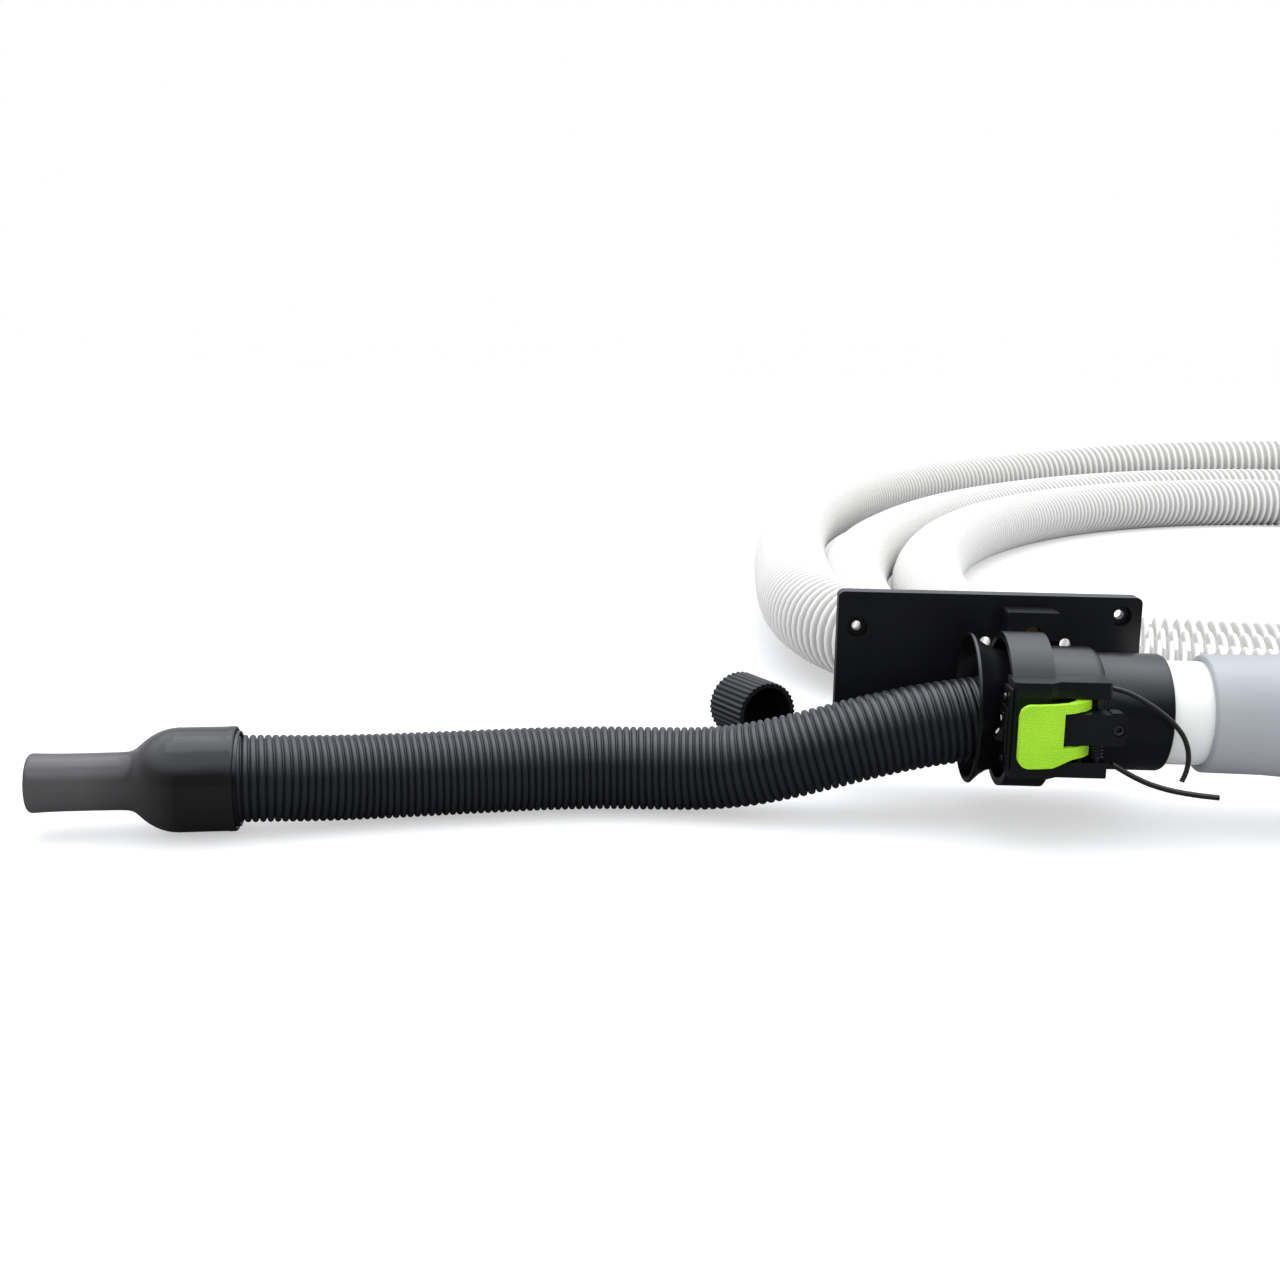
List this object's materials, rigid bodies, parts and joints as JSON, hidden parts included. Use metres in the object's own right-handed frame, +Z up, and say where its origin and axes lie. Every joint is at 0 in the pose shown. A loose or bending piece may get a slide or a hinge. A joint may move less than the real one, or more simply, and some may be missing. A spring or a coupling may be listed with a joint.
{
  "type": "retractable vacuum hose",
  "caption": "Corrugated suction hose drawn out of a plate-mounted inlet with brake latch and switch, and its coiled storage hose.",
  "frame": {"origin": "on the floor, under the middle of the box around the rigid pieces; the plate's back face is in the plane Y = 0", "axes": "+Z up, +X along the inlet's tube from the bell mouth towards the pipe, +Y from the tube through the plate to its back"},
  "size_m": [1.7288, 1.5004, 0.1],
  "materials": {
    "black_plastic": "satin moulded",
    "gloss_black": "polished moulded",
    "lime_plastic": "fine grained",
    "white_pipe": "semi-gloss extruded",
    "white_hose": "corrugated satin",
    "grey_plastic": "satin moulded",
    "smoke_vinyl": "smooth smoky vinyl",
    "black_hose": "corrugated satin",
    "black_rubber": "matte",
    "lead_jacket": "satin jacket",
    "dark_steel": "blackened",
    "brass_screw": "dull"
  },
  "bodies": {
    "inlet": {"mount_plate": "black_plastic", "post_screw": "brass_screw", "bell_mouth": "gloss_black", "inlet_barrel": "black_plastic", "pipe_seal": "black_rubber", "pipe_stub": "white_pipe", "pipe_cuff": "grey_plastic", "latch_housing": "black_plastic", "lever_shaft": "dark_steel", "paddle_pin": "dark_steel", "switch_plate": "black_plastic", "switch_screw_lower": "dark_steel", "switch_screw_upper": "dark_steel", "switch_body": "black_plastic", "return_spring": "dark_steel", "storage_hose_run": "white_hose", "storage_hose_coil": "white_hose", "lead_upper": "lead_jacket", "lead_lower": "lead_jacket"},
    "paddle": {"brake_paddle": "lime_plastic"},
    "lever": {"brake_lever": "black_plastic", "set_screw": "dark_steel"},
    "pad": {"brake_pad": "black_rubber"},
    "rocker": {"switch_rocker": "gloss_black"},
    "hose": {"suction_hose": "black_hose", "hose_end_collar": "gloss_black", "nozzle_cuff": "smoke_vinyl"},
    "cap": {"knurled_cap": "black_plastic"}
  },
  "joints": [
    {"name": "paddle_press", "type": "hinge", "parent": "inlet", "child": "paddle", "pos_m": [0.0018, -0.0835, 0.0525], "axis": [0, 0, -1], "range_deg": [0, 8], "stiffness_Nm_per_rad": 0.08, "springref_deg": -5.73},
    {"name": "lever_lift", "type": "hinge", "parent": "inlet", "child": "lever", "pos_m": [0.0093, -0.0835, 0.0546], "axis": [0, 0, -1], "range_deg": [0, 5]},
    {"name": "pad_lift", "type": "slide", "parent": "inlet", "child": "pad", "axis": [0, -1, 0], "range_m": [0, 0.0006]},
    {"name": "rocker_tilt", "type": "hinge", "parent": "inlet", "child": "rocker", "pos_m": [-0.0285, -0.0847, 0.0526], "axis": [0, -1, 0], "range_deg": [0, 24]},
    {"name": "hose_pull", "type": "slide", "parent": "inlet", "child": "hose", "axis": [-1, 0, 0], "range_m": [0, 0.03]},
    {"name": "cap_lift", "type": "slide", "parent": "inlet", "child": "cap", "axis": [0, 0, 1], "range_m": [0, 0.08]}
  ],
  "couplings": [
    {"joint": "lever_lift", "follows": "paddle_press", "ratio": 0.6},
    {"joint": "pad_lift", "follows": "paddle_press", "m_per_rad": 0.0037}
  ]
}
